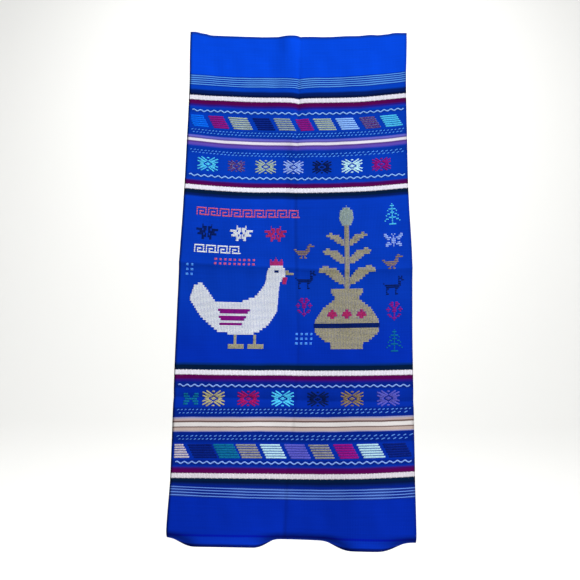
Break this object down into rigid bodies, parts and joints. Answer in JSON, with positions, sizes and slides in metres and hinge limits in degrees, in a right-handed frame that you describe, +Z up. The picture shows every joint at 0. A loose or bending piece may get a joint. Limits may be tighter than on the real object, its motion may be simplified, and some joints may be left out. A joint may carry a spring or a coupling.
{
  "type": "woven tapestry",
  "caption": "Hand-woven cotton wall hanging in one piece, with brocaded bands and a brocaded middle field, creased from folding, its hem turned back in places.",
  "frame": {"origin": "middle of the cloth's top edge, which holds it up", "axes": "+Z up along the warp, +X to the right as seen from the front, and the patterned front faces -Y"},
  "size_m": [0.44, 0.0335, 0.9944],
  "materials": {
    "cloth": "matt hand-woven cotton, royal blue ground with striped and brocaded bands"
  },
  "bodies": {
    "root": {"cloth": "cloth"}
  },
  "joints": []
}
